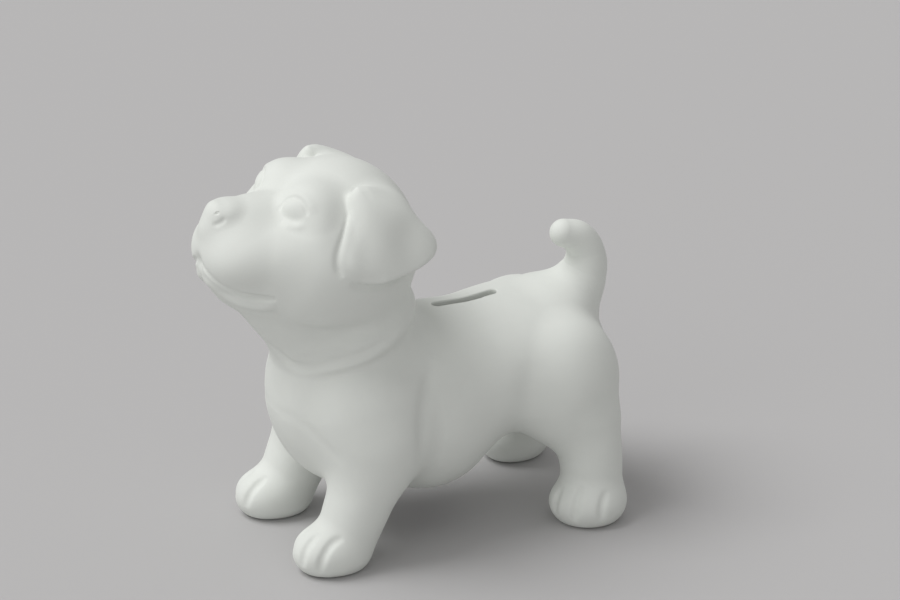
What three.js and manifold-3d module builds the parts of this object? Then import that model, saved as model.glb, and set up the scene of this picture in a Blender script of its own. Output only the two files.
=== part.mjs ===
// Puppy coin bank: a slip-cast, once-fired white ceramic figure, hollow, with a coin slot in
// the back and a soft rubber bung in the belly.
// Millimetres. The puppy faces -Y, its left side is +X, and it stands on the plane Z = 0.
import * as THREE from "three";
import { MarchingCubes } from "three/addons/objects/MarchingCubes.js";
import { mergeVertices } from "three/addons/utils/BufferGeometryUtils.js";
import Module from "manifold-3d";

const wasm = await Module();
wasm.setup();

// ---------------------------------------------------------------- driving dimensions
const WALL = 5;                 // thickness of the cast wall
const LEG_WALL = 7.5;           // the slip settles thicker in the narrow legs
const GAP = 0.3;                // space left between castings that meet
const LENGTH_SHIFT = 10.56;     // the figure is drawn about the middle of its paws

const SLOT = { length: 31, width: 4.6, middle: 16 };

const BUNG = {
  y: -7,                        // middle of the belly hole, at the lowest place of the belly
  holeRadius: 15.8,
  seatZ: 24.8,                  // flat seat turned on the belly around the hole
  seatRadius: 19.6,
  collarRadius: 21.5,           // thick ring inside the wall around the hole
  collarBottom: 18,
  collarTop: 32.8,
  flangeRadius: 18.4,
  flangeThickness: 2.8,
  plugTop: 34,
  hollowRadius: 9,
};

const NECK = { y: -42, z: 94, slope: 0.40 };          // the seam under the neck roll
const TAIL_CUT = { y: 71, z: 95.8, slope: -0.8 };     // the seam where the tail is stuck on
const TAIL_REGION = { width: 80, front: 50, rear: 130, low: 60, high: 180 };
const FRONT_CUT = { x: 46, y: -45, z: 51, slopeX: 0.72, slopeY: -0.35, front: -120, rear: -8 };
const HIND_CUT = { x: 46, y: 57, z: 45, slopeX: 0.60, slopeY: 0.20, front: 14, rear: 110 };

const SKULL = { y: -46, z: 137, radii: [38, 36, 38.5] };
const EAR = { y: -40, z: 135, radii: [44.5, 63, 48.5], thickness: 7, rootX: 23 };
// the flap seen from the side, as y and z, from the fold at the top round by the tip
const EAR_OUTLINE = [
  [-51, 179], [-45, 178], [-37.5, 170.5], [-28, 162.5], [-18.5, 153.5], [-14.5, 147], [-17, 141.5],
  [-28, 138], [-41, 134.5], [-53, 136], [-61, 142], [-63.5, 151], [-59, 164], [-54, 172],
];
const EYE = { centre: [16.9, -70.4, 163.1], radii: [7.6, 5, 5.6], yaw: 34 };
// points near the mouth line, from under the nose back to the cheek
const MOUTH = [
  [1, -106, 140], [8, -106, 137], [14, -102, 133], [17.5, -96, 130], [20, -90, 128.5],
  [25, -86.5, 129.5], [28, -84, 130],
];

const CERAMIC = { color: 0xd9dbd4, roughness: 0.82, metalness: 0 };
const RUBBER = { color: 0x3a3a3c, roughness: 0.9, metalness: 0 };

// ---------------------------------------------------------------- smooth shapes as fields
// A field gives, at a point, roughly how far outside the surface that point is.
const clamp01 = (t) => Math.min(1, Math.max(0, t));

function join(a, b, blend) {
  const t = clamp01(0.5 + (0.5 * (b - a)) / blend);
  return b + (a - b) * t - blend * t * (1 - t);
}

const overlap = (a, b, blend) => -join(-a, -b, blend);

// An ellipsoid; tilt turns it about X and yaw turns it about Z, in degrees.
function ellipsoid(centre, radii, tilt = 0, yaw = 0) {
  const [st, ct] = [Math.sin(tilt * THREE.MathUtils.DEG2RAD), Math.cos(tilt * THREE.MathUtils.DEG2RAD)];
  const [sy, cy] = [Math.sin(yaw * THREE.MathUtils.DEG2RAD), Math.cos(yaw * THREE.MathUtils.DEG2RAD)];
  return (x, y, z) => {
    const [dx, dy, dz] = [x - centre[0], y - centre[1], z - centre[2]];
    const [ax, ay] = [dx * cy + dy * sy, -dx * sy + dy * cy];
    const [by, bz] = [ay * ct - dz * st, ay * st + dz * ct];
    const near = Math.hypot(ax / radii[0], by / radii[1], bz / radii[2]);
    const far = Math.hypot(ax / radii[0] ** 2, by / radii[1] ** 2, bz / radii[2] ** 2);
    return (near * (near - 1)) / Math.max(far, 1e-6);
  };
}

// A round bar whose radius changes evenly from one end to the other.
function taper(from, to, radiusFrom, radiusTo) {
  const along = to.map((v, i) => v - from[i]);
  const square = along.reduce((sum, v) => sum + v * v, 0);
  return (x, y, z) => {
    const d = [x - from[0], y - from[1], z - from[2]];
    const t = clamp01((d[0] * along[0] + d[1] * along[1] + d[2] * along[2]) / square);
    const off = Math.hypot(d[0] - along[0] * t, d[1] - along[1] * t, d[2] - along[2] * t);
    return off - (radiusFrom + (radiusTo - radiusFrom) * t);
  };
}

// Signed distance to a closed outline in the y-z plane.
function outline(points) {
  return (y, z) => {
    let nearest = Infinity;
    let inside = false;
    for (let i = 0, j = points.length - 1; i < points.length; j = i, i += 1) {
      const [ey, ez] = [points[j][0] - points[i][0], points[j][1] - points[i][1]];
      const [wy, wz] = [y - points[i][0], z - points[i][1]];
      const t = clamp01((wy * ey + wz * ez) / (ey * ey + ez * ez));
      nearest = Math.min(nearest, Math.hypot(wy - ey * t, wz - ez * t));
      const crosses = (points[i][1] > z) !== (points[j][1] > z);
      if (crosses && y < points[i][0] + (ey * (z - points[i][1])) / ez) inside = !inside;
    }
    return inside ? -nearest : nearest;
  };
}

// Paired features are drawn once, on the left, and mirrored by taking |x|.
const shape = {
  chest: ellipsoid([0, -41, 64.5], [37, 34, 39], -6),
  barrel: ellipsoid([0, -7, 57.5], [40.5, 37, 41]),
  loin: ellipsoid([0, 22, 67], [38.5, 44, 30], -3),
  rump: ellipsoid([0, 47, 68], [37.5, 36.5, 31.5]),
  tailRoot: ellipsoid([0, 61, 89.5], [18, 15, 11.5]),
  collar: taper([0, -38, 76], [0, -45, 101], 36, 29),
  shoulder: ellipsoid([25, -40, 62], [20.5, 25, 30], -20),
  foreleg: taper([29.5, -40, 50], [31, -57, 10], 16.5, 13),
  forepaw: ellipsoid([31, -63.5, 8.5], [14.5, 16.5, 12]),
  thigh: ellipsoid([25.5, 54, 62], [20, 25, 30], 6),
  shin: taper([30, 62, 44], [35.5, 62, 12], 15, 13),
  hindpaw: ellipsoid([37, 58.5, 8.5], [15, 17, 12.3], 0, -30),
  throat: taper([0, -40, 88], [0, -47, 120], 30, 31),
  neckRoll: ellipsoid([0, -43, 100], [35, 33, 12], -21.8),
  skull: ellipsoid([0, SKULL.y, SKULL.z], SKULL.radii),
  cheek: ellipsoid([17, -61, 134], [21, 26, 25]),
  muzzle: ellipsoid([0, -82, 143], [27, 23.5, 17.5]),
  bridge: ellipsoid([0, -84, 152.5], [14, 24, 12.2], 3),
  brow: ellipsoid([14, -62, 162.5], [13, 12.5, 11]),
  jaw: taper([0, -61, 111], [0, -94, 135.5], 23.5, 10.5),
  mandible: ellipsoid([0, -82, 128.5], [23.5, 20, 11.5], -4),
  lip: ellipsoid([7.5, -90, 143], [16, 17, 14.5], -6),
  nose: ellipsoid([0, -99.5, 163.2], [8, 6.8, 4.4], -3),
  noseKeel: ellipsoid([0, -103, 159], [3.6, 3.6, 6]),
  earSheet: ellipsoid([0, EAR.y, EAR.z], EAR.radii),
};
const earEdge = outline(EAR_OUTLINE);

const TAIL_LINE = [[0, 67, 88], [0, 75.5, 100], [0, 77, 110], [0, 73, 118], [0, 66, 121.5]];
const TAIL_RADII = [15, 10.5, 8.5, 7.4, 6.2];

function trunk(x, y, z) {
  const ax = Math.abs(x);
  let d = join(shape.chest(ax, y, z), shape.barrel(ax, y, z), 14);
  d = join(d, shape.loin(ax, y, z), 10);
  d = join(d, shape.rump(ax, y, z), 10);
  d = join(d, shape.tailRoot(ax, y, z), 9);
  return join(d, shape.collar(ax, y, z), 8);
}

function legs(x, y, z) {
  const ax = Math.abs(x);
  let fore = join(shape.shoulder(ax, y, z), shape.foreleg(ax, y, z), 12);
  fore = join(fore, shape.forepaw(ax, y, z), 5);
  let hind = join(shape.thigh(ax, y, z), shape.shin(ax, y, z), 8);
  hind = join(hind, shape.hindpaw(ax, y, z), 5);
  return Math.min(fore, hind);
}

const tailBars = TAIL_LINE.slice(1).map((to, i) => (
  taper(TAIL_LINE[i], to, TAIL_RADII[i], TAIL_RADII[i + 1])
));

function tail(x, y, z) {
  return tailBars.reduce((d, bar) => join(d, bar(x, y, z), 2), 1000);
}

function bodyField(x, y, z) {
  const d = join(trunk(x, y, z), legs(x, y, z), 7);
  return Math.max(join(d, tail(x, y, z), 5), -z);
}

// The two upper lips meet in a soft crease below the nose.
function lips(x, y, z) {
  return join(shape.lip(x, y, z), shape.lip(-x, y, z), 12);
}

function headField(x, y, z) {
  const ax = Math.abs(x);
  let d = join(shape.skull(ax, y, z), shape.cheek(ax, y, z), 14);
  d = join(d, shape.muzzle(ax, y, z), 11);
  d = join(d, shape.bridge(ax, y, z), 6);
  d = join(d, shape.brow(ax, y, z), 6);
  d = join(d, join(shape.jaw(ax, y, z), shape.mandible(ax, y, z), 6), 7);
  d = join(d, lips(ax, y, z), 5);
  d = join(d, join(shape.nose(ax, y, z), shape.noseKeel(ax, y, z), 3), 4);
  const neck = join(shape.throat(ax, y, z), shape.neckRoll(ax, y, z), 5);
  return join(d, neck, 5);
}

// The ear flap is a bent sheet with a shallow dish near its front and another near its tip.
function earField(x, y, z) {
  const sheet = shape.earSheet(x, y, z);
  const frontDish = 1.6 * Math.exp(-(((y + 51) / 6) ** 2) - ((z - 156) / 12) ** 2);
  const rearDish = 1.8 * Math.exp(-(((y + 30) / 8) ** 2) - ((z - 150) / 11) ** 2);
  const flap = overlap(sheet + frontDish + rearDish, earEdge(y, z), 4.5);
  const rooted = overlap(flap, EAR.rootX - x, 6);
  return overlap(rooted, -(sheet + EAR.thickness), 3);
}

const hollowField = (x, y, z) => {
  const body = join(trunk(x, y, z) + WALL, legs(x, y, z) + LEG_WALL, 7);
  return Math.max(join(body, headField(x, y, z) + WALL, 3), LEG_WALL - z);
};

// ---------------------------------------------------------------- fields and geometry to solids
function solidFromGeometry(geometry) {
  const bare = new THREE.BufferGeometry();
  bare.setAttribute("position", geometry.getAttribute("position"));
  if (geometry.index) bare.setIndex(geometry.index);
  const merged = mergeVertices(bare, 1e-4);
  const index = merged.index.array;
  const triangles = [];
  for (let i = 0; i < index.length; i += 3) {
    const [a, b, c] = [index[i], index[i + 1], index[i + 2]];
    if (a !== b && b !== c && c !== a) triangles.push(a, b, c);
  }
  return new wasm.Manifold(new wasm.Mesh({
    numProp: 3,
    vertProperties: new Float32Array(merged.getAttribute("position").array),
    triVerts: new Uint32Array(triangles),
  }));
}

// The surface where a field is zero, inside a cube about a centre.
function solidFromField(field, centre, reach, cell) {
  const count = 2 * Math.ceil(reach / cell) + 6;
  const cubes = new MarchingCubes(count, new THREE.MeshBasicMaterial(), false, false, 40000);
  cubes.isolation = 0;
  const margin = 0.14 * cell;
  for (let k = 0; k < count; k += 1) {
    for (let j = 0; j < count; j += 1) {
      for (let i = 0; i < count; i += 1) {
        const x = centre[0] + (i - count / 2) * cell;
        const y = centre[1] + (j - count / 2) * cell;
        const z = centre[2] + (k - count / 2) * cell;
        const outside = Math.max(Math.abs(x - centre[0]), Math.abs(y - centre[1]),
          Math.abs(z - centre[2])) - reach;
        // grid points almost on the surface are moved off it, so no facet is a sliver
        const d = Math.max(field(x, y, z), outside);
        cubes.field[i + count * (j + count * k)] = d > 0 ? -Math.max(d, margin) : -Math.min(d, -margin);
      }
    }
  }
  cubes.update();
  const geometry = new THREE.BufferGeometry();
  const positions = cubes.positionArray.slice(0, cubes.count * 3);
  geometry.setAttribute("position", new THREE.BufferAttribute(positions, 3));
  geometry.scale(cell * cubes.halfsize, cell * cubes.halfsize, cell * cubes.halfsize);
  geometry.translate(...centre);
  settleOnSurface(geometry, field, centre, reach, margin);
  return solidFromGeometry(geometry);
}

// Moves each corner inside the cube straight onto the surface, by no more than a limit.
function settleOnSurface(geometry, field, centre, reach, limit) {
  const position = geometry.getAttribute("position");
  const step = 0.2;
  for (let i = 0; i < position.count; i += 1) {
    const p = [position.getX(i), position.getY(i), position.getZ(i)];
    if (p.every((v, axis) => Math.abs(v - centre[axis]) < reach - limit)) {
      const d = field(...p);
      const slope = [0, 1, 2].map((axis) => {
        const ahead = p.map((v, k) => (k === axis ? v + step : v));
        const behind = p.map((v, k) => (k === axis ? v - step : v));
        return (field(...ahead) - field(...behind)) / (2 * step);
      });
      const steepness = slope.reduce((sum, v) => sum + v * v, 0);
      const move = Math.min(limit, Math.max(-limit, d / Math.max(steepness, 0.25)));
      position.setXYZ(i, ...p.map((v, axis) => v - move * slope[axis]));
    }
  }
}

// A block whose top face is the plane z = cut.z + slopeX (x - cut.x) + slopeY (y - cut.y).
function blockBelow(cut, width, length, height, lift = 0) {
  const up = new THREE.Vector3(-(cut.slopeX ?? 0), -(cut.slopeY ?? 0), 1).normalize();
  const across = new THREE.Vector3(1, 0, cut.slopeX ?? 0).normalize();
  const along = up.clone().cross(across);
  const block = new THREE.BoxGeometry(width, length, height);
  block.translate(0, 0, -height / 2 + lift);
  const turn = new THREE.Matrix4().makeBasis(across, along, up);
  turn.setPosition(cut.x ?? 0, cut.y, cut.z);
  return solidFromGeometry(block.applyMatrix4(turn));
}

const mirrored = (solid) => solid.mirror([1, 0, 0]);

// A point on the surface of a field, found outward from an inside point.
function onSurface(field, from, direction) {
  const ray = new THREE.Vector3(...direction).normalize();
  let near = 0;
  let far = 80;
  for (let i = 0; i < 40; i += 1) {
    const middle = (near + far) / 2;
    const p = new THREE.Vector3(...from).addScaledVector(ray, middle);
    if (field(p.x, p.y, p.z) < 0) near = middle;
    else far = middle;
  }
  return new THREE.Vector3(...from).addScaledVector(ray, near);
}

// A round bar that follows a smooth line through the points.
function closedTube(points, radius, steps) {
  const path = new THREE.CatmullRomCurve3(points);
  const tube = new THREE.TubeGeometry(path, steps, radius, 6, false);
  const sides = 7;
  const position = tube.getAttribute("position");
  const index = Array.from(tube.index.array);
  // the open ends of the tube are closed with fans about their first corner
  for (const [start, flip] of [[0, false], [steps * sides, true]]) {
    for (let i = 1; i < sides - 2; i += 1) {
      const fan = [start, start + i, start + i + 1];
      index.push(...(flip ? fan.reverse() : fan));
    }
  }
  const closed = new THREE.BufferGeometry();
  closed.setAttribute("position", position);
  closed.setIndex(index);
  return solidFromGeometry(closed);
}

// ---------------------------------------------------------------- surface details
// The eye is a low dome on the face below the brow.
function eyeball() {
  const ball = new THREE.SphereGeometry(1, 14, 10);
  ball.scale(...EYE.radii).rotateZ(EYE.yaw * THREE.MathUtils.DEG2RAD).translate(...EYE.centre);
  return solidFromGeometry(ball);
}

// The mouth is a shallow groove that follows the face.
function mouthGroove() {
  const middle = new THREE.Vector3(0, -68, 145);
  const points = MOUTH.map((p) => (
    onSurface(headField, middle.toArray(), new THREE.Vector3(...p).sub(middle).toArray())
  ));
  return closedTube(points, 1.3, 14);
}

// Grooves between the toes run over the top of a paw and down its front.
function toeGrooves(paw, facing, spread) {
  return spread.map((angle) => {
    const turn = (facing + angle) * THREE.MathUtils.DEG2RAD;
    const points = [56, 36, 18, 2].map((rise) => {
      const lift = rise * THREE.MathUtils.DEG2RAD;
      const aim = [Math.sin(turn) * Math.cos(lift), -Math.cos(turn) * Math.cos(lift), Math.sin(lift)];
      const clear = (x, y, z) => bodyField(x, y, z) - 0.5;
      return onSurface(clear, paw, aim);
    });
    return closedTube(points, 1.8, 6);
  });
}

// ---------------------------------------------------------------- the castings
const everything = new THREE.Group();

function addNode(name, solid, look) {
  const mesh = solid.getMesh();
  const geometry = new THREE.BufferGeometry();
  geometry.setAttribute("position", new THREE.BufferAttribute(mesh.vertProperties, 3));
  geometry.setIndex(new THREE.BufferAttribute(mesh.triVerts, 1));
  geometry.translate(0, LENGTH_SHIFT, 0);
  geometry.computeVertexNormals();
  const node = new THREE.Mesh(geometry, new THREE.MeshStandardMaterial(look));
  node.name = name;
  everything.add(node);
}

const hollow = solidFromField(hollowField, [0, -11, 92], 104, 9.6);

const headBlock = { y: NECK.y, z: NECK.z, slopeY: NECK.slope };
const belowNeck = (lift) => blockBelow(headBlock, 300, 300, 300, lift);
const tailBlock = { y: TAIL_CUT.y, z: TAIL_CUT.z, slopeY: TAIL_CUT.slope };
const belowTail = (lift) => blockBelow(tailBlock, 200, 200, 200, lift);

// A leg block reaches from the joint face down past the floor, on one side only.
function legBlock(cut, lift) {
  const below = blockBelow(cut, 160, 160, 160, lift);
  const inner = 3 - lift;
  const depth = cut.rear - cut.front + 2 * lift;
  const post = new THREE.BoxGeometry(90 - inner, depth, 160);
  post.translate((90 + inner) / 2, (cut.rear + cut.front) / 2, 20);
  return below.intersect(solidFromGeometry(post));
}

// head and neck roll
const headOuter = solidFromField(headField, [0, -58, 130], 62, 4.8).subtract(belowNeck(GAP / 2));
let head = headOuter.subtract(hollow);
const eye = eyeball();
const mouth = mouthGroove();
head = head.add(eye).add(mirrored(eye)).subtract(mouth).subtract(mirrored(mouth));
addNode("head_casting", head, CERAMIC);

// ears, laid against the skull with the gap between
const skullClearance = headOuter.translate([0, -SKULL.y, -SKULL.z])
  .scale(1 + GAP / 36).translate([0, SKULL.y, SKULL.z]);
const earLeft = solidFromField(earField, [34, -37, 155], 32, 3.4).subtract(skullClearance);
addNode("ear_left", earLeft, CERAMIC);
addNode("ear_right", mirrored(earLeft), CERAMIC);

// trunk, with the neck, the legs, the tail, the slot and the belly hole taken out
const bodyOuter = solidFromField(bodyField, [0, -11, 68], 104, 7.4);

// An upright cylinder on the middle of the belly hole, between two heights.
function bellyCylinder(radius, low, high) {
  const cylinder = new THREE.CylinderGeometry(radius, radius, high - low, 48);
  return solidFromGeometry(cylinder.rotateX(Math.PI / 2).translate(0, BUNG.y, (low + high) / 2));
}

const ring = bellyCylinder(BUNG.collarRadius, BUNG.collarBottom, BUNG.collarTop).intersect(bodyOuter);
const seat = bellyCylinder(BUNG.seatRadius, 0, BUNG.seatZ);
const bellyHole = bellyCylinder(BUNG.holeRadius, 0, BUNG.collarTop + 10);

const slotPlan = new THREE.Shape();
const half = SLOT.length / 2 - SLOT.width / 2;
slotPlan.absarc(0, half, SLOT.width / 2, 0, Math.PI, false);
slotPlan.absarc(0, -half, SLOT.width / 2, Math.PI, 2 * Math.PI, false);
const slotCut = new THREE.ExtrudeGeometry(slotPlan, { depth: 40, bevelEnabled: false, curveSegments: 6 });
slotCut.translate(0, SLOT.middle, 80);

let trunkCasting = bodyOuter.subtract(hollow).add(ring)
  .intersect(belowNeck(-GAP / 2))
  .subtract(solidFromGeometry(slotCut))
  .subtract(seat)
  .subtract(bellyHole);
const tailRegion = new THREE.BoxGeometry(
  TAIL_REGION.width, TAIL_REGION.rear - TAIL_REGION.front, TAIL_REGION.high - TAIL_REGION.low,
);
tailRegion.translate(
  0, (TAIL_REGION.rear + TAIL_REGION.front) / 2, (TAIL_REGION.high + TAIL_REGION.low) / 2,
);
const tailSide = solidFromGeometry(tailRegion);
trunkCasting = trunkCasting.subtract(tailSide.subtract(belowTail(-GAP / 2)));
for (const cut of [FRONT_CUT, HIND_CUT]) {
  const block = legBlock(cut, GAP / 2);
  trunkCasting = trunkCasting.subtract(block).subtract(mirrored(block));
}
addNode("torso_casting", trunkCasting, CERAMIC);

// tail
const tailSolid = solidFromField(bodyField, [0, 76, 108], 24, 4.2)
  .intersect(tailSide).subtract(belowTail(GAP / 2));
addNode("tail_casting", tailSolid, CERAMIC);

// legs
const legPlan = [
  ["front_leg", FRONT_CUT, [34, -58, 30], 40, [31, -62, 8], 0, [-24, 24]],
  ["hind_leg", HIND_CUT, [34, 58, 28], 40, [36, 60, 8], 30, [-36, 0, 36]],
];
for (const [name, cut, centre, reach, paw, facing, spread] of legPlan) {
  let leg = solidFromField(bodyField, centre, reach, 5.4)
    .subtract(solidFromField(hollowField, centre, reach + 12, 6.5))
    .intersect(legBlock(cut, -GAP / 2));
  for (const groove of toeGrooves(paw, facing, spread)) leg = leg.subtract(groove);
  addNode(name + "_left", leg, CERAMIC);
  addNode(name + "_right", mirrored(leg), CERAMIC);
}

// the rubber bung in the belly
const bungProfile = [
  [0, BUNG.seatZ - BUNG.flangeThickness],
  [BUNG.flangeRadius - 0.8, BUNG.seatZ - BUNG.flangeThickness],
  [BUNG.flangeRadius, BUNG.seatZ - BUNG.flangeThickness + 0.8],
  [BUNG.flangeRadius, BUNG.seatZ - GAP],
  [BUNG.holeRadius - GAP - 0.8, BUNG.seatZ - GAP],
  [BUNG.holeRadius - GAP - 0.8, BUNG.collarTop - 1],
  [BUNG.holeRadius - GAP, BUNG.collarTop - 0.4],
  [BUNG.holeRadius - GAP - 1.6, BUNG.plugTop],
  [BUNG.hollowRadius, BUNG.plugTop],
  [BUNG.hollowRadius - 0.5, BUNG.seatZ + 1],
  [0, BUNG.seatZ + 1],
].map(([r, z]) => new THREE.Vector2(r, z));
const bungGeometry = new THREE.LatheGeometry(bungProfile, 28);
bungGeometry.rotateX(Math.PI / 2).translate(0, BUNG.y, 0);
addNode("belly_stopper", solidFromGeometry(bungGeometry), RUBBER);

export default everything;
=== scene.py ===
"""Looks of the ceramic puppy coin bank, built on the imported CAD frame.

The figure is modelled as one smooth distance field in millimetres, drawn about the middle of
its paws: it faces -Y, its left side is +X and it stands on Z = 0. The field is meshed region by
region and cut along the same seams as the castings of the CAD model.
"""

import math

import bmesh
import bpy
import numpy as np
import openvdb
from mathutils import Matrix, Vector


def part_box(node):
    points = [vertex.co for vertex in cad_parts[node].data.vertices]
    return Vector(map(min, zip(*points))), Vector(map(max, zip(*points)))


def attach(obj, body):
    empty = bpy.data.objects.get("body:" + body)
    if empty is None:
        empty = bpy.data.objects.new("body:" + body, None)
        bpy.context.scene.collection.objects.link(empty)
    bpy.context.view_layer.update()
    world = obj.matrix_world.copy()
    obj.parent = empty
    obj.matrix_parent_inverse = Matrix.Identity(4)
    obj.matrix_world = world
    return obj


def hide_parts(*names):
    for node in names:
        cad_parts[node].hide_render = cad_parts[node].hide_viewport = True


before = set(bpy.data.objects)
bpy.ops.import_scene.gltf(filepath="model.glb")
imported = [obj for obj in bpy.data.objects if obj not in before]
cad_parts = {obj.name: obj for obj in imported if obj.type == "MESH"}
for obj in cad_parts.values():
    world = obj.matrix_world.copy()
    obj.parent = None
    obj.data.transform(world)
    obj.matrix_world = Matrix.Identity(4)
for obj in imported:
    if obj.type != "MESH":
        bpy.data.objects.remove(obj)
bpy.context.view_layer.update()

F32 = np.float32
COARSE = 1.0
TINY = 1e-6

# ---------------------------------------------------------------- sizes, mm
WALL = 5.0
LEG_WALL = 7.5
NECK_SEAM = dict(y=-42.0, z=94.0, slope_y=0.40)
TAIL_SEAM = dict(y=71.0, z=95.8, slope_y=-0.8)
TAIL_REGION = ((-40, 50, 60), (40, 130, 180))
FRONT_SEAM = dict(x=46.0, y=-45.0, z=51.0, slope_x=0.72, slope_y=-0.35,
                  front=-120.0, rear=-8.0)
HIND_SEAM = dict(x=46.0, y=57.0, z=45.0, slope_x=0.60, slope_y=0.20, front=14.0, rear=110.0)
LEG_INNER_X = 3.0               # the leg seams start this far from the middle plane
SLOT = dict(length=31.0, width=4.6, middle=16.0, floor=80.0, edge=0.9)
SOLE_EDGE = 1.6
BUNG = dict(y=-7.0, hole=15.8, seat_z=24.8, seat=19.6, collar=21.5, collar_low=18.0,
            collar_high=32.8, flange=18.4, flange_thick=2.8, plug_top=34.0, hollow=9.0, play=0.3)
CELL = dict(inside=1.6, body=0.8, head=0.65, tail=0.6, ear=0.8)     # mesh spacing

# the drawing origin in the row frame: the bung tells how far the CAD model was shifted
bung_low, bung_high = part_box("belly_stopper")
SHIFT = np.array([0.0, 500.0 * (bung_low[1] + bung_high[1]) - BUNG["y"], 0.0])


# ---------------------------------------------------------------- field tools
FAR_OFF = 50        # what a field says for points that it skips
SKIN_REACH = 6      # a line is pressed only into points this near the skin


def turned(p, centre, tilt=0.0, yaw=0.0):
    """Coordinates about a centre, turned about Z (yaw) and then X (tilt), in degrees."""
    q = p - np.array(centre, F32)
    x, y, z = q[:, 0], q[:, 1], q[:, 2]
    if yaw:
        s, c = math.sin(math.radians(yaw)), math.cos(math.radians(yaw))
        x, y = x * c + y * s, y * c - x * s
    if tilt:
        s, c = math.sin(math.radians(tilt)), math.cos(math.radians(tilt))
        y, z = y * c - z * s, y * s + z * c
    return x, y, z


def ellipsoid(p, centre, radii, tilt=0.0, yaw=0.0):
    x, y, z = turned(p, centre, tilt, yaw)
    a, b, c = radii
    near = np.sqrt((x / a) ** 2 + (y / b) ** 2 + (z / c) ** 2)
    far = np.sqrt((x / a**2) ** 2 + (y / b**2) ** 2 + (z / c**2) ** 2)
    return near * (near - 1) / np.maximum(far, TINY)


def taper(p, start, end, r_start, r_end):
    """A round bar whose radius changes evenly from one end to the other."""
    a = np.array(start, F32)
    along = np.array(end, F32) - a
    t = np.clip((p - a) @ along / (along @ along), 0, 1)
    off = p - a - t[:, None] * along
    return np.sqrt((off * off).sum(1)) - (r_start + (r_end - r_start) * t)


def join(a, b, blend):
    """Both shapes, with a fillet of about the blend's size between them."""
    t = np.clip(0.5 + 0.5 * (b - a) / blend, 0, 1)
    return b + (a - b) * t - blend * t * (1 - t)


def overlap(a, b, blend):
    """What the two shapes share, with a rounded edge."""
    return -join(-a, -b, blend)


def mirrored(p):
    """The figure is drawn once, for its left half."""
    q = p.copy()
    q[:, 0] = np.abs(q[:, 0])
    return q


def spline(points, steps=6):
    """A smooth line through a few points."""
    pts = np.array(points, float)
    ext = np.vstack([2 * pts[0] - pts[1], pts, 2 * pts[-1] - pts[-2]])
    out = []
    for i in range(len(pts) - 1):
        a, b, c, d = ext[i:i + 4]
        for t in np.linspace(0, 1, steps, endpoint=False):
            out.append(0.5 * (2 * b + (c - a) * t + (2 * a - 5 * b + 4 * c - d) * t**2
                              + (3 * b - a - 3 * c + d) * t**3))
    return np.array(out + [pts[-1]])


def slope_of(field, p, h=0.3):
    rises = [field(p + h * e) - field(p - h * e) for e in np.eye(3, dtype=F32)]
    return np.stack(rises, 1) / (2 * h)


SETTLED = {}            # lines already found
SETTLING_STEPS = 4
LEAST_SLOPE = 0.1


def settled(points, field):
    """A smooth line through the points, moved onto the surface of the field."""
    key = (tuple(map(tuple, points)), field.__name__)
    if key not in SETTLED:
        line = spline(points).astype(F32)
        for _ in range(SETTLING_STEPS):
            g = slope_of(field, line)
            steepness = np.maximum((g * g).sum(1), LEAST_SLOPE)
            line = line - field(line)[:, None] * g / steepness[:, None]
        SETTLED[key] = line.astype(F32)
    return SETTLED[key]


def mark(p, d, points, depth, width, fade, on):
    """Presses a line into the surface (depth > 0) or raises one (depth < 0), fading at its ends."""
    line = settled(points, on)
    room = 3 * width
    near = np.abs(d) < SKIN_REACH
    for k in range(3):
        near &= (p[:, k] > line[:, k].min() - room) & (p[:, k] < line[:, k].max() + room)
    if not near.any():
        return d
    q = p[near]
    best = np.full(len(q), 1e9, F32)
    along = np.zeros(len(q), F32)
    lengths = np.linalg.norm(np.diff(line, axis=0), axis=1)
    walked = np.concatenate([[0], np.cumsum(lengths)])
    for i in range(len(line) - 1):
        ab = line[i + 1] - line[i]
        t = np.clip((q - line[i]) @ ab / (ab @ ab), 0, 1)
        off = q - line[i] - t[:, None] * ab
        square = (off * off).sum(1)
        closer = square < best
        best = np.where(closer, square, best)
        along = np.where(closer, walked[i] + t * lengths[i], along)
    to_end = np.minimum(along, walked[-1] - along)
    strength = np.exp(-best / width**2) * np.clip(to_end / fade, 0, 1)
    out = d.copy()
    out[near] += depth * strength
    return out


def lined(p, d, lines, on):
    """Marks a list of lines, each given as depth, width, fade and points near the skin."""
    for depth, width, fade, points in lines:
        d = mark(p, d, points, depth, width, fade, on)
    return d


def dent(p, d, centre, radii, depth):
    """A soft hollow (depth > 0) or swelling (depth < 0)."""
    x, y, z = turned(p, centre)
    a, b, c = radii
    return d + depth * np.exp(-(x / a) ** 2 - (y / b) ** 2 - (z / c) ** 2)


def outline_distance(y, z, points):
    """Signed distance to a closed outline in the y-z plane."""
    nearest = np.full(y.shape, 1e9)
    inside = np.zeros(y.shape, bool)
    for i in range(len(points)):
        (y0, z0), (y1, z1) = points[i], points[i - 1]
        ey, ez = y1 - y0, z1 - z0
        wy, wz = y - y0, z - z0
        t = np.clip((wy * ey + wz * ez) / (ey * ey + ez * ez), 0, 1)
        nearest = np.minimum(nearest, (wy - ey * t) ** 2 + (wz - ez * t) ** 2)
        if ez:
            inside ^= ((z0 > z) != (z1 > z)) & (y < y0 + ey * (z - z0) / ez)
    return (np.where(inside, -1, 1) * np.sqrt(nearest)).astype(F32)


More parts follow.
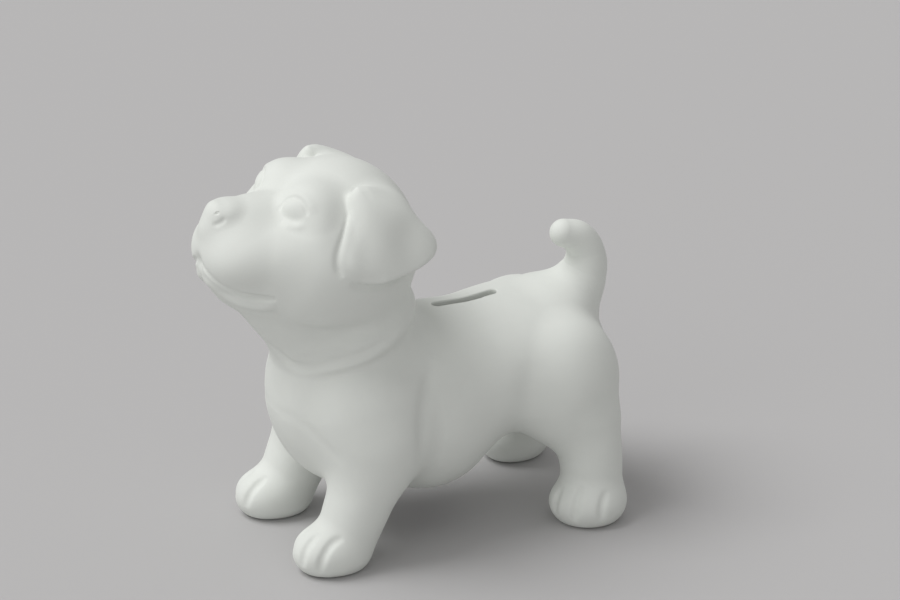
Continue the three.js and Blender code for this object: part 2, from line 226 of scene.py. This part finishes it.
# ---------------------------------------------------------------- trunk, legs and tail
def trunk(q):
    chest = ellipsoid(q, (0, -41, 64.5), (37, 34, 39), tilt=-6)
    barrel = ellipsoid(q, (0, -7, 57.5), (40.5, 37, 41))
    loin = ellipsoid(q, (0, 22, 67), (38.5, 44, 30), tilt=-3)
    rump = ellipsoid(q, (0, 47, 68), (37.5, 36.5, 31.5))
    tail_root = ellipsoid(q, (0, 61, 89.5), (18, 15, 11.5))
    collar = taper(q, (0, -38, 76), (0, -45, 101), 36, 29)
    d = join(join(chest, barrel, 14), loin, 10)
    d = join(join(d, rump, 10), tail_root, 9)
    return join(d, collar, 8)


def legs(q):
    shoulder = ellipsoid(q, (25, -40, 62), (20.5, 25, 30), tilt=-20)
    foreleg = taper(q, (29.5, -40, 50), (31, -57, 10), 16.5, 13)
    forepaw = ellipsoid(q, (31, -63.5, 8.5), (14.5, 16.5, 12))
    thigh = ellipsoid(q, (25.5, 54, 62), (20, 25, 30), tilt=6)
    shin = taper(q, (30, 62, 44), (35.5, 62, 12), 15, 13)
    hindpaw = ellipsoid(q, (37, 58.5, 8.5), (15, 17, 12.3), yaw=-30)
    fore = join(join(shoulder, foreleg, 12), forepaw, 5)
    hind = join(join(thigh, shin, 8), hindpaw, 5)
    return np.minimum(fore, hind)


TAIL_LINE = spline([(0, 67, 88), (0, 75.5, 100), (0, 77, 110), (0, 73, 118), (0, 66, 121.5)], 14)
TAIL_RADII = np.interp(np.linspace(0, 4, len(TAIL_LINE)), range(5), [15, 10.5, 8.5, 7.4, 6.2])


def tail(q):
    """A bent bar; only points round it are worked out."""
    d = np.full(len(q), FAR_OFF, F32)
    near = (q[:, 1] > 44) & (q[:, 2] > 72)
    if near.any():
        bars = zip(TAIL_LINE, TAIL_LINE[1:], TAIL_RADII, TAIL_RADII[1:])
        d[near] = np.minimum.reduce([taper(q[near], *bar) for bar in bars])
    return d


def plain_body(q):
    return join(join(trunk(q), legs(q), 7), tail(q), 4)


# lines on the left half, each through a few points near the skin; the lists that end in
# _LINES add depth, width and the length over which the line's ends fade, in mm
SHOULDER_FOLD = [(28, -12.6, 87.4), (34.6, -18, 79.5), (39.7, -22.8, 71), (42.5, -25, 61),
                 (42.9, -26.2, 47)]
THIGH_FOLD = [(35, 30, 82), (38, 27, 73), (38.5, 27, 64), (36, 30, 54)]
COAT_EDGE = [(0, -75, 66), (10, -73.5, 66.5), (19, -71, 66), (29, -66, 60), (38, -58, 51)]
FRONT_TOES = [[(42.1, -61.9, 19.3), (41.4, -67.4, 16.6), (42.8, -72.4, 11), (41.3, -73, 4)],
              [(34.3, -70, 19.5), (35.9, -76.5, 14.6), (36.5, -79, 8), (36.5, -79, 5)],
              [(25.5, -68, 20), (24.5, -74, 17), (24, -78.5, 12), (24, -80, 6)]]
HIND_TOES = [[(35.9, 46.5, 17.6), (37.4, 42.5, 10), (37, 42.5, 4)],
             [(44.1, 52, 20.1), (46.7, 47.7, 11.6), (46, 47.5, 4)],
             [(48.6, 61.8, 18.5), (51.5, 58, 11.7), (51, 58, 5)]]
BODY_LINES = [(1.6, 3.4, 12, SHOULDER_FOLD), (0.9, 5.0, 12, THIGH_FOLD), (0.3, 2.6, 8, COAT_EDGE),
              *[(1.6, 1.6, 5, toe) for toe in FRONT_TOES + HIND_TOES]]
RUMP_SHIFT = 1.6
BACK_CROWN = 2.0


def figure_body(p):
    q = mirrored(p)
    # the rump and tail stand a little further forward than their plain shapes; the shift
    # comes in over 25 mm, from 30 mm above the soles and 30 mm behind the middle
    q[:, 1] += RUMP_SHIFT * np.clip((q[:, 2] - 30) / 25, 0, 1) * np.clip((q[:, 1] - 30) / 25, 0, 1)
    d = lined(q, plain_body(q), BODY_LINES, plain_body)
    # the back is crowned along the slot
    d = dent(q, d, (0, 16, 97), (14, 26, 14), -BACK_CROWN)
    straight = (SLOT["length"] - SLOT["width"]) / 2
    past_straight = np.maximum(np.abs(p[:, 1] - SLOT["middle"]) - straight, 0)
    slot = np.hypot(p[:, 0], past_straight) - SLOT["width"] / 2
    slot = np.maximum(slot, SLOT["floor"] - p[:, 2])
    d = overlap(d, -slot, SLOT["edge"])
    return overlap(d, -p[:, 2], SOLE_EDGE)


# ---------------------------------------------------------------- the head
def skull(q):
    d = ellipsoid(q, (0, -46, 137), (38, 36, 38.5))
    cheek = ellipsoid(q, (17, -61, 134), (21, 26, 25))
    muzzle = ellipsoid(q, (0, -82, 143), (27, 23.5, 17.5))
    bridge = ellipsoid(q, (0, -84, 154.1), (13, 24, 12.4), tilt=1)
    brow = ellipsoid(q, (14, -62, 162.5), (13, 12.5, 11))
    d = join(join(d, cheek, 14), muzzle, 11)
    return join(join(d, bridge, 6), brow, 6)


def lips(q):
    """The two upper lips, which meet with a soft furrow between them."""
    far_side = q * np.array([-1, 1, 1], F32)
    return join(ellipsoid(q, (7.5, -90, 143), (16, 17, 14.5), tilt=-6),
                ellipsoid(far_side, (7.5, -90, 143), (16, 17, 14.5), tilt=-6), 15)


def jaw(q):
    throat = taper(q, (0, -61, 111), (0, -94, 135.5), 23.5, 10.5)
    mandible = ellipsoid(q, (0, -82, 128.5), (23.5, 20, 11.5), tilt=-4)
    return join(throat, mandible, 6)


def nose(q):
    button = ellipsoid(q, (0, -97, 162.5), (7.4, 6.2, 4.0), tilt=-3)
    front = ellipsoid(q, (0, -100.5, 162.4), (5.4, 2.8, 3.7))
    keel = ellipsoid(q, (0, -100.8, 159.3), (3.6, 3.4, 5.5))
    return join(join(button, front, 2), keel, 3)


def neck(q):
    throat = taper(q, (0, -40, 88), (0, -47, 120), 30, 31)
    roll = ellipsoid(q, (0, -43, 100), (35, 33, 12), tilt=-21.8)
    return join(throat, roll, 5)


def plain_head(q):
    d = join(skull(q), jaw(q), 7)
    d = join(d, lips(q), 5)
    return join(d, nose(q), 5)


def plain_head_and_neck(q):
    return join(plain_head(q), neck(q), 5)


# the ear seen from the side, y and z
EAR_OUTLINE = [(-51.5, 180), (-46, 179), (-37, 170.5), (-27.5, 162.5), (-18.5, 153.5),
               (-14.5, 147), (-16.5, 141.5), (-25, 138), (-37, 136), (-46, 135), (-55, 137),
               (-59.5, 140.5), (-61, 145.5), (-59.5, 151), (-55.5, 158), (-51.5, 165), (-51, 172)]
EAR_THICK = 7
EAR_INNER_X = 23        # the flap starts this far from the middle plane


def closed_spline(points, steps=4):
    """A smooth ring through the points."""
    ring = points[-2:] + points + points[:2]
    return spline(ring, steps)[2 * steps:-steps - 1]


EAR_EDGE = closed_spline(EAR_OUTLINE)


def rooted(q, reach):
    """1 along the ear's upper edge, where it grows out of the skull, falling to 0 below it."""
    return np.clip(1 + ((q[:, 1] + 45) * 0.713 + (q[:, 2] - 178) * 0.701) / reach, 0, 1)


def ear(q):
    """The flap; only points round it are worked out."""
    d = np.full(len(q), FAR_OFF, F32)
    near = (q[:, 0] > 10) & (q[:, 1] > -72) & (q[:, 1] < -4) & (q[:, 2] > 124)
    if near.any():
        d[near] = flap(q[near])
    return d


def flap(q):
    """A bent sheet with two shallow dishes, cut to its outline, thin at the edge."""
    sheet = ellipsoid(q, (0, -40, 135), (44.5, 63, 48.5))
    y, z = q[:, 1], q[:, 2]
    edge = outline_distance(y, z, EAR_EDGE)
    front_dish = 1.6 * np.exp(-((y + 51) / 6) ** 2 - ((z - 156) / 12) ** 2)
    rear_dish = 1.8 * np.exp(-((y + 30) / 8) ** 2 - ((z - 150) / 11) ** 2)
    rim = 2.0 * np.exp(-(edge / 4) ** 2) * np.clip((-42 - y) / 10, 0, 1)
    d = overlap(sheet + front_dish + rear_dish + rim, edge, 2.2 + 3 * rooted(q, 14))
    d = overlap(d, EAR_INNER_X - q[:, 0], 6)
    return overlap(d, -(sheet + EAR_THICK), 3)


UPPER_LID = [(12.5, -77.4, 163), (11.5, -75.5, 165.4), (13, -73, 168), (16.3, -71.3, 169.7),
             (20.3, -70, 169), (23.7, -69.5, 165.8), (24.8, -69.7, 163.7)]
UPPER_ROLL = [(11, -76, 166.5), (12.5, -73, 169.5), (16, -70.5, 171.5), (20, -69, 171.5),
              (24.5, -67.5, 168.5), (27, -66.5, 165)]
LOWER_LID = [(16.8, -78, 160.3), (20.9, -76, 159.3), (24.1, -72.9, 159.6), (25.8, -69.8, 161)]
EYE_LINES = [(0.85, 0.85, 2.5, UPPER_LID), (-0.35, 1.8, 4, UPPER_ROLL), (-0.45, 1.8, 4, LOWER_LID)]

MOUTH = [(2, -107.5, 141.5), (5, -107.5, 139.8), (8.5, -106.5, 137.4), (13.4, -102.8, 133.4),
         (17.3, -97.4, 130.7), (21.6, -92, 129.7), (27.2, -85.1, 129.7)]
LOWER_LIP = [(0, -106, 134.5), (5.4, -105, 132.2), (9, -101, 128), (14, -97, 125.6),
             (20.2, -90.4, 124.2), (26, -84.6, 125.6)]
LIP_FOLD = [(8.2, -99.8, 123.9), (12.3, -93.5, 120.3), (16.3, -88.1, 119.4), (24.1, -84.3, 122.6)]
MOUTH_LINES = [(3.0, 1.05, 3, MOUTH), (-1.4, 2.4, 5, LOWER_LIP), (1.0, 2.4, 6, LIP_FOLD)]

NOSTRIL = [(5, -102.8, 164.4), (5.4, -102.6, 163.4)]
WING_CREASE = [(8.2, -99.3, 162.6), (7.6, -101, 160.8), (6.2, -102.5, 159.3), (4.2, -103.5, 158.6)]
NOSE_LINES = [(0.9, 1.0, 0.05, NOSTRIL), (0.55, 1.0, 2, WING_CREASE)]

EAR_GROOVE = [(20, -44, 172), (26, -46.5, 167.5), (30.5, -51, 163), (35.5, -56.5, 157),
              (39, -61, 150.5), (41, -62, 145), (42, -60, 140)]
UNDER_EAR = [(41, -57, 137.5), (40, -52, 134.5), (40, -44, 133), (37, -36, 133), (31, -25, 134)]
EAR_LINES = [(1.2, 1.7, 4, EAR_GROOVE), (1.5, 2.2, 6, UNDER_EAR)]


def eyes(q, d):
    """A shallow socket, the ball in it, and the lids round the ball."""
    d = dent(q, d, (19, -73, 165), (7.5, 7.5, 6.5), 1.1)
    # the temple behind the eye is full
    d = dent(q, d, (29.5, -64, 160), (6, 7, 8), -1.3)
    ball = ellipsoid(q, (16.5, -69.7, 163.1), (7.8, 5, 5.8), yaw=34)
    return lined(q, join(d, ball, 1.4), EYE_LINES, plain_head)


def mouth(q, d):
    d = lined(q, d, MOUTH_LINES, plain_head)
    # the notch where the upper lips meet over the chin
    return dent(q, d, (0, -107.5, 141), (3.4, 4, 3.6), 1.8)


def figure_head(p):
    q = mirrored(p)
    d = mouth(q, eyes(q, plain_head(q)))
    d = lined(q, d, NOSE_LINES + EAR_LINES, plain_head)
    root = ellipsoid(q, (20, -36, 154.5), (14, 15, 13))
    d = join(join(d, root, 6), neck(q), 5)
    # the flap grows smoothly out of the skull along its upper edge and stands clear below
    return join(d, ear(q), 1.2 + 6 * rooted(q, 16))


# ---------------------------------------------------------------- the whole outside and the hollow
def plain_figure(q):
    return join(plain_head_and_neck(q), plain_body(q), 2)


NECK_FOLD = [(0, -79, 99.5), (5.5, -77.9, 97), (13, -72.1, 90.8), (22, -67, 92), (30, -58.8, 96.2),
             (34.3, -47.7, 99.8), (33.8, -37, 104), (32, -31, 106)]
NECK_ROLL = [(16, -74, 98), (25, -67, 100), (31, -57, 103.5), (34.5, -45, 106), (33, -36, 108)]
JAW_FOLD = [(24.5, -79.5, 117.8), (27.7, -71.9, 113.7), (30.9, -59.1, 111.1), (31.6, -41.1, 111.8)]
NECK_LINES = [(2.4, 2.0, 18, NECK_FOLD), (-1.4, 3.4, 14, NECK_ROLL), (1.3, 3.6, 14, JAW_FOLD)]


BODY_TOP = 125          # above this, and in front of HEAD_REAR, only the head's field counts
HEAD_LOW = 78           # below this only the body's field counts
HEAD_REAR = 12


def figure(p):
    """The whole outside. Points far from the head skip its field, and the other way round."""
    d = np.full(len(p), FAR_OFF, F32)
    low = (p[:, 2] < BODY_TOP) | (p[:, 1] > HEAD_REAR)
    high = (p[:, 2] > HEAD_LOW) & (p[:, 1] < HEAD_REAR)
    both = low & high
    d[low & ~both] = figure_body(p[low & ~both])
    d[high & ~both] = figure_head(p[high & ~both])
    d[both] = join(figure_body(p[both]), figure_head(p[both]), 2)
    return lined(mirrored(p), d, NECK_LINES, plain_figure)


def hollow(p):
    """The inside: the plain shapes made smaller by the wall."""
    q = mirrored(p)
    body = join(trunk(q) + WALL, legs(q) + LEG_WALL, 7)
    inside = join(plain_head_and_neck(q) + WALL, body, 3)
    return np.maximum(inside, LEG_WALL - p[:, 2])


# ---------------------------------------------------------------- fields to meshes
BLOCK = 8               # cells in a block; blocks far from the surface are skipped
BAND = 10.0             # distances are kept up to this far from the surface
BATCH = 200             # blocks worked on at a time


def field_mesh(name, field, low, high, cell):
    """A closed mesh of the surface where a field is zero, inside a box."""
    cell *= COARSE
    low, high = np.array(low, float), np.array(high, float)
    blocks = np.ceil(((high - low) / cell + 5) / BLOCK).astype(int)
    start = low - 2 * cell
    index = np.stack(np.meshgrid(*[np.arange(k) for k in blocks], indexing="ij"), -1).reshape(-1, 3)

    def boxed(p):
        outside = np.maximum(low - p, p - high).max(1)
        return np.maximum(field(p), outside).astype(F32)

    # a block can hold surface only where its middle is nearer than this
    reach = BLOCK * cell * 1.1 + 2
    middle = boxed((start + (index * BLOCK + (BLOCK - 1) / 2) * cell).astype(F32))
    values = np.empty(blocks * BLOCK, F32)
    by_block = values.reshape(blocks[0], BLOCK, blocks[1], BLOCK, blocks[2], BLOCK)
    by_block[...] = (np.sign(middle) * BAND).reshape(blocks)[:, None, :, None, :, None]
    corner = np.stack(np.meshgrid(*[np.arange(BLOCK)] * 3, indexing="ij"), -1).reshape(-1, 3)
    active = index[np.abs(middle) < reach]
    for i in range(0, len(active), BATCH):
        cells = (active[i:i + BATCH, None, :] * BLOCK + corner[None]).reshape(-1, 3)
        values[cells[:, 0], cells[:, 1], cells[:, 2]] = boxed((start + cells * cell).astype(F32))
    grid = openvdb.FloatGrid(BAND)
    grid.copyFromArray(np.clip(values, -BAND, BAND))
    points, triangles, quads = grid.convertToPolygons(isovalue=0.0, adaptivity=0.0)
    points = (points * cell + start).astype(F32)
    # each point inside the box is moved straight onto the surface
    free = np.minimum(points - low, high - points).min(1) > cell
    inner = points[free]
    g = slope_of(field, inner, 0.25)
    step = np.clip(field(inner), -cell, cell) / np.maximum((g * g).sum(1), 0.25)
    points[free] = inner - step[:, None] * g
    faces = triangles.tolist() + quads.tolist()
    mesh = bpy.data.meshes.new(name)
    mesh.from_pydata(((points + SHIFT) / 1000).tolist(), [], faces)
    mesh.update()
    return new_object(name, mesh)


def new_object(name, mesh):
    thing = bpy.data.objects.new(name, mesh)
    bpy.context.scene.collection.objects.link(thing)
    return thing


def copy_of(thing, name, flip=False):
    """A copy, or its mirror image in the middle plane."""
    mesh = thing.data.copy()
    if flip:
        mesh.transform(Matrix.Scale(-1, 4, (1, 0, 0)))
        mesh.flip_normals()
    return new_object(name, mesh)


def discard(thing):
    mesh = thing.data
    bpy.data.objects.remove(thing)
    bpy.data.meshes.remove(mesh)


def cut(thing, tool, operation):
    """DIFFERENCE or INTERSECT with another closed mesh."""
    modifier = thing.modifiers.new("cut", "BOOLEAN")
    modifier.object = tool
    modifier.operation = operation
    modifier.solver = "MANIFOLD"
    graph = bpy.context.evaluated_depsgraph_get()
    mesh = bpy.data.meshes.new_from_object(thing.evaluated_get(graph))
    thing.modifiers.clear()
    old = thing.data
    thing.data = mesh
    bpy.data.meshes.remove(old)


def to_frame(offset=(0, 0, 0)):
    """From millimetres about the paws to metres in the frame."""
    return Matrix.Scale(0.001, 4) @ Matrix.Translation(Vector(SHIFT) + Vector(offset))


def block(name, low, high, turn=None):
    """A box between two corners, in millimetres, then turned."""
    made = bmesh.new()
    bmesh.ops.create_cube(made, size=1.0)
    low, high = Vector(low), Vector(high)
    place = Matrix.Translation((low + high) / 2) @ Matrix.Diagonal((*(high - low), 1.0))
    made.transform(to_frame() @ (turn or Matrix()) @ place)
    mesh = bpy.data.meshes.new(name)
    made.to_mesh(mesh)
    made.free()
    return new_object(name, mesh)


def block_below(name, seam, size):
    """A big block whose top face is the seam plane."""
    slope_x, slope_y = seam.get("slope_x", 0.0), seam["slope_y"]
    up = Vector((-slope_x, -slope_y, 1)).normalized()
    across = Vector((1, 0, slope_x)).normalized()
    along = up.cross(across)
    turn = Matrix((across, along, up)).transposed().to_4x4()
    turn.translation = (seam.get("x", 0.0), seam["y"], seam["z"])
    return block(name, (-size / 2, -size / 2, -size), (size / 2, size / 2, 0), turn)


def leg_block(name, seam):
    """Everything under a leg's seam, on the left side."""
    below = block_below(name, seam, size=160)
    post = block("post", (LEG_INNER_X, seam["front"], -60), (90, seam["rear"], 100))
    cut(below, post, "INTERSECT")
    discard(post)
    return below


def lathe(name, profile, sides=96):
    """A closed turned solid on the belly hole's upright line; profile is radius and height."""
    made = bmesh.new()
    angles = [2 * math.pi * i / sides for i in range(sides)]
    rings = []
    for radius, height in profile:
        spokes = angles if radius else angles[:1]
        rings.append([made.verts.new((radius * math.cos(a), radius * math.sin(a), height))
                      for a in spokes])
    for lower, upper in zip(rings, rings[1:]):
        for i in range(sides):
            j = (i + 1) % sides
            a, b = lower[i % len(lower)], lower[j % len(lower)]
            c, d = upper[j % len(upper)], upper[i % len(upper)]
            # a ring of one point gives triangles
            made.faces.new([v for k, v in enumerate((a, b, c, d)) if v not in (a, b, c, d)[:k]])
    bmesh.ops.recalc_face_normals(made, faces=made.faces)
    made.transform(to_frame((0, BUNG["y"], 0)))
    mesh = bpy.data.meshes.new(name)
    made.to_mesh(mesh)
    made.free()
    return new_object(name, mesh)


def cylinder(name, radius, low, high):
    return lathe(name, [(0, low), (radius, low), (radius, high), (0, high)])


# ---------------------------------------------------------------- shading and materials
def read(collection, key, width, kind=F32):
    """One property of every element as an array."""
    values = np.empty(len(collection) * width, kind)
    collection.foreach_get(key, values)
    return values.reshape(-1, width) if width > 1 else values


def unit(v):
    return v / np.maximum(np.linalg.norm(v, axis=1, keepdims=True), 1e-9)


FACING = 0.6            # least cosine between a face and the skin's own normal


def shade(thing):
    """Both skins take their normals from the fields, so a seam doesn't break the shading."""
    mesh = thing.data
    # a boolean can leave a face without area
    mesh.validate()
    points = (read(mesh.vertices, "co", 3) * 1000 - SHIFT).astype(F32)
    corner_vertex = read(mesh.loops, "vertex_index", 1, np.int32)
    starts = read(mesh.polygons, "loop_start", 1, np.int32)
    totals = read(mesh.polygons, "loop_total", 1, np.int32)
    face_normal = read(mesh.polygons, "normal", 3)
    corner_normal = np.zeros((len(corner_vertex), 3), F32)
    smooth = np.zeros(len(starts), bool)
    # a field, the way its skin faces, and how near to it a point must be
    for field, side, reach in ((figure, 1, 0.12), (hollow, -1, 0.5)):
        near = np.abs(field(points)) < reach
        normals = np.zeros_like(points)
        normals[near] = side * unit(slope_of(field, points[near], 0.15))
        chosen = np.logical_and.reduceat(near[corner_vertex], starts) & ~smooth
        chosen &= (face_normal * normals[corner_vertex[starts]]).sum(1) > FACING
        corners = np.repeat(chosen, totals)
        corner_normal[corners] = normals[corner_vertex[corners]]
        smooth |= chosen
    mesh.polygons.foreach_set("use_smooth", smooth)
    mesh.normals_split_custom_set(corner_normal.tolist())


BUMP_DEPTH = 0.0002     # metres


def material(name, colour, roughness, mottle, mottle_size, grain, grain_size):
    """A matte material with a slight mottle in its colour and a fine grain."""
    made = bpy.data.materials.new(name)
    made.use_nodes = True
    nodes, links = made.node_tree.nodes, made.node_tree.links
    shader = nodes["Principled BSDF"]
    shader.inputs["Roughness"].default_value = roughness
    place = nodes.new("ShaderNodeTexCoord")
    cloud = nodes.new("ShaderNodeTexNoise")
    cloud.inputs["Scale"].default_value = mottle_size
    cloud.inputs["Detail"].default_value = 4
    ramp = nodes.new("ShaderNodeValToRGB")
    ramp.color_ramp.elements[0].position = 0.3
    ramp.color_ramp.elements[1].position = 0.7
    ramp.color_ramp.elements[0].color = (*[c * (1 - mottle) for c in colour], 1)
    ramp.color_ramp.elements[1].color = (*colour, 1)
    sand = nodes.new("ShaderNodeTexNoise")
    sand.inputs["Scale"].default_value = grain_size
    sand.inputs["Detail"].default_value = 3
    bump = nodes.new("ShaderNodeBump")
    bump.inputs["Strength"].default_value = grain
    bump.inputs["Distance"].default_value = BUMP_DEPTH
    links.new(place.outputs["Object"], cloud.inputs["Vector"])
    links.new(place.outputs["Object"], sand.inputs["Vector"])
    links.new(cloud.outputs["Fac"], ramp.inputs["Fac"])
    links.new(ramp.outputs["Color"], shader.inputs["Base Color"])
    links.new(sand.outputs["Fac"], bump.inputs["Height"])
    links.new(bump.outputs["Normal"], shader.inputs["Normal"])
    return made


BISQUE = material("bisque_clay", (0.77, 0.795, 0.755), roughness=0.7, mottle=0.04, mottle_size=45,
                  grain=0.2, grain_size=900)
RUBBER = material("stopper_rubber", (0.035, 0.035, 0.038), roughness=0.6, mottle=0.2,
                  mottle_size=60, grain=0.2, grain_size=1500)


def finished(thing, node, body, look):
    """Names a piece after its CAD node, gives it its material, ties it to the node's body and hides
    the node.
    """
    thing.name = node + "_look"
    thing.data.materials.clear()
    thing.data.materials.append(look)
    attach(thing, body)
    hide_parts(node)


# ---------------------------------------------------------------- the castings
EAR_MARGIN = 0.4        # the ear's piece is cut this far outside the plain flap
BELOW_ALL = -20         # under the table, for tools that cut right through

inside = field_mesh("inside", hollow, (-46, -104, 4), (46, 84, 176), CELL["inside"])
body_skin = field_mesh("body_skin", figure, (-54, -92, -2), (54, 96, 116), CELL["body"])
head_skin = field_mesh("head_skin", figure, (-54, -112, 76), (54, 11, 186), CELL["head"])
tail_skin = field_mesh("tail_skin", figure, (-24, 46, 80), (24, 96, 132), CELL["tail"])
ear_cutter = field_mesh("ear_cutter", lambda p: ear(p) - EAR_MARGIN, (16, -72, 126), (56, -6, 186),
                        CELL["ear"])

neck_side = block_below("neck_side", NECK_SEAM, size=300)
tail_side = block("tail_side", *TAIL_REGION)
below_tail = block_below("below_tail", TAIL_SEAM, size=200)

# trunk: the neck, tail and legs are cut away, then the inside, the seat and the hole
torso = copy_of(body_skin, "torso")
cut(torso, neck_side, "INTERSECT")
tail_block = copy_of(tail_side, "tail_block")
cut(tail_block, below_tail, "DIFFERENCE")
cut(torso, tail_block, "DIFFERENCE")
leg_parts = []
for name, seam in (("front_leg", FRONT_SEAM), ("hind_leg", HIND_SEAM)):
    left_block = leg_block("leg_block", seam)
    right_block = copy_of(left_block, "leg_block_right", flip=True)
    left_leg = copy_of(body_skin, name)
    cut(left_leg, left_block, "INTERSECT")
    cut(left_leg, inside, "DIFFERENCE")
    right_leg = copy_of(left_leg, name + "_right", flip=True)
    leg_parts += [(name + "_left", left_leg), (name + "_right", right_leg)]
    for tool in (left_block, right_block):
        cut(torso, tool, "DIFFERENCE")
        discard(tool)
collar = cylinder("collar", BUNG["collar"], BUNG["collar_low"], BUNG["collar_high"])
trunk_inside = copy_of(inside, "trunk_inside")
cut(trunk_inside, collar, "DIFFERENCE")
seat = cylinder("seat", BUNG["seat"], BELOW_ALL, BUNG["seat_z"])
belly_hole = cylinder("belly_hole", BUNG["hole"], BELOW_ALL, BUNG["collar_high"] + 10)
for tool in (trunk_inside, seat, belly_hole):
    cut(torso, tool, "DIFFERENCE")

# tail, ears and head
tail_part = copy_of(tail_skin, "tail")
cut(tail_part, tail_side, "INTERSECT")
cut(tail_part, below_tail, "DIFFERENCE")
ear_cutter_right = copy_of(ear_cutter, "ear_cutter_right", flip=True)
ear_part = copy_of(head_skin, "ear")
cut(ear_part, ear_cutter, "INTERSECT")
cut(ear_part, inside, "DIFFERENCE")
head_part = copy_of(head_skin, "head")
for tool in (neck_side, ear_cutter, ear_cutter_right, inside):
    cut(head_part, tool, "DIFFERENCE")

castings = [("torso_casting", torso), ("head_casting", head_part), ("tail_casting", tail_part),
            ("ear_left", ear_part), ("ear_right", copy_of(ear_part, "ear_right", flip=True)),
            *leg_parts]
for node, casting in castings:
    shade(casting)
    finished(casting, node, "bank", BISQUE)
for tool in (inside, body_skin, head_skin, tail_skin, ear_cutter, ear_cutter_right, neck_side,
             tail_side, below_tail, tail_block, collar, trunk_inside, seat, belly_hole):
    discard(tool)

# ---------------------------------------------------------------- the rubber bung
FLANGE_ROUND = ((1.2, 0), (0.6, 0.15), (0.15, 0.6), (0, 1.2))     # inward, upward
GROOVE = 0.8            # the plug is this much thinner where the collar holds it

flange_low = BUNG["seat_z"] - BUNG["flange_thick"]
flange_top = BUNG["seat_z"] - BUNG["play"]
plug = BUNG["hole"] - BUNG["play"]
pocket_floor = BUNG["seat_z"] + 1
bung_profile = [
    (0, flange_low),
    *[(BUNG["flange"] - inward, flange_low + upward) for inward, upward in FLANGE_ROUND],
    (BUNG["flange"], flange_top), (plug - GROOVE, flange_top),
    (plug - GROOVE, BUNG["collar_high"] - 1), (plug, BUNG["collar_high"] - 0.4),
    (plug - 1.2, BUNG["plug_top"] - 0.2), (plug - 1.8, BUNG["plug_top"]),
    (BUNG["hollow"] + 0.5, BUNG["plug_top"]), (BUNG["hollow"], BUNG["plug_top"] - 0.5),
    (BUNG["hollow"] - 0.5, pocket_floor), (0, pocket_floor),
]
bung = lathe("bung", bung_profile)
bung.data.shade_smooth()
bung.data.set_sharp_from_angle(angle=math.radians(35))
finished(bung, "belly_stopper", "stopper", RUBBER)

# ---------------------------------------------------------------- floor, light and camera
FLOOR_COLOUR = (0.50, 0.495, 0.495, 1)
SKY_COLOUR = (0.45, 0.445, 0.445, 1)
FLOOR_HALF = 40         # metres
LENS, SENSOR = 202.4, 36
AIM_RIGHT, AIM_UP, AIM_BACK = 0.00826, 0.09283, 0.040       # metres from between the paws


def stage_floor():
    made = bmesh.new()
    bmesh.ops.create_grid(made, x_segments=1, y_segments=1, size=FLOOR_HALF)
    mesh = bpy.data.meshes.new("floor")
    made.to_mesh(mesh)
    made.free()
    floor = new_object("floor", mesh)
    look = bpy.data.materials.new("floor_paper")
    look.use_nodes = True
    shader = look.node_tree.nodes["Principled BSDF"]
    shader.inputs["Base Color"].default_value = FLOOR_COLOUR
    shader.inputs["Roughness"].default_value = 0.9
    shader.inputs["Specular IOR Level"].default_value = 0.1
    mesh.materials.append(look)


def soft_sun(name, place, strength, spread):
    """A broad even light from one side of the sky, the same all over the floor."""
    lamp = bpy.data.lights.new(name, "SUN")
    lamp.energy = strength
    lamp.angle = math.radians(spread)
    holder = bpy.data.objects.new(name, lamp)
    holder.location = place
    holder.rotation_mode = "QUATERNION"
    holder.rotation_quaternion = Vector(place).to_track_quat("Z", "Y")
    bpy.context.scene.collection.objects.link(holder)


stage_floor()
soft_sun("overhead", (-0.5, -1.0, 1.8), strength=1.7, spread=40)
soft_sun("front_fill", (0.9, -1.6, 0.5), strength=0.45, spread=50)

world = bpy.data.worlds.new("studio")
world.use_nodes = True
world.node_tree.nodes["Background"].inputs["Color"].default_value = SKY_COLOUR
world.node_tree.nodes["Background"].inputs["Strength"].default_value = 1.0
bpy.context.scene.world = world
bpy.context.scene.view_settings.view_transform = "Standard"

# the camera stands in front of the left shoulder and looks down a little
AZIMUTH, ELEVATION, DISTANCE = math.radians(64.2), math.radians(24.2), 2.2
right = Vector((math.cos(AZIMUTH), math.sin(AZIMUTH), 0))
up = Vector((-math.sin(AZIMUTH) * math.sin(ELEVATION),
             math.cos(AZIMUTH) * math.sin(ELEVATION), math.cos(ELEVATION)))
back = right.cross(up)
aim = Vector(SHIFT) / 1000 + right * AIM_RIGHT + up * AIM_UP + back * AIM_BACK
camera = bpy.data.objects.new("camera", bpy.data.cameras.new("camera"))
camera.location = aim + back * DISTANCE
camera.rotation_mode = "QUATERNION"
camera.rotation_quaternion = back.to_track_quat("Z", "Y")
camera.data.sensor_width = SENSOR
camera.data.lens = LENS
bpy.context.scene.collection.objects.link(camera)
bpy.context.scene.camera = camera
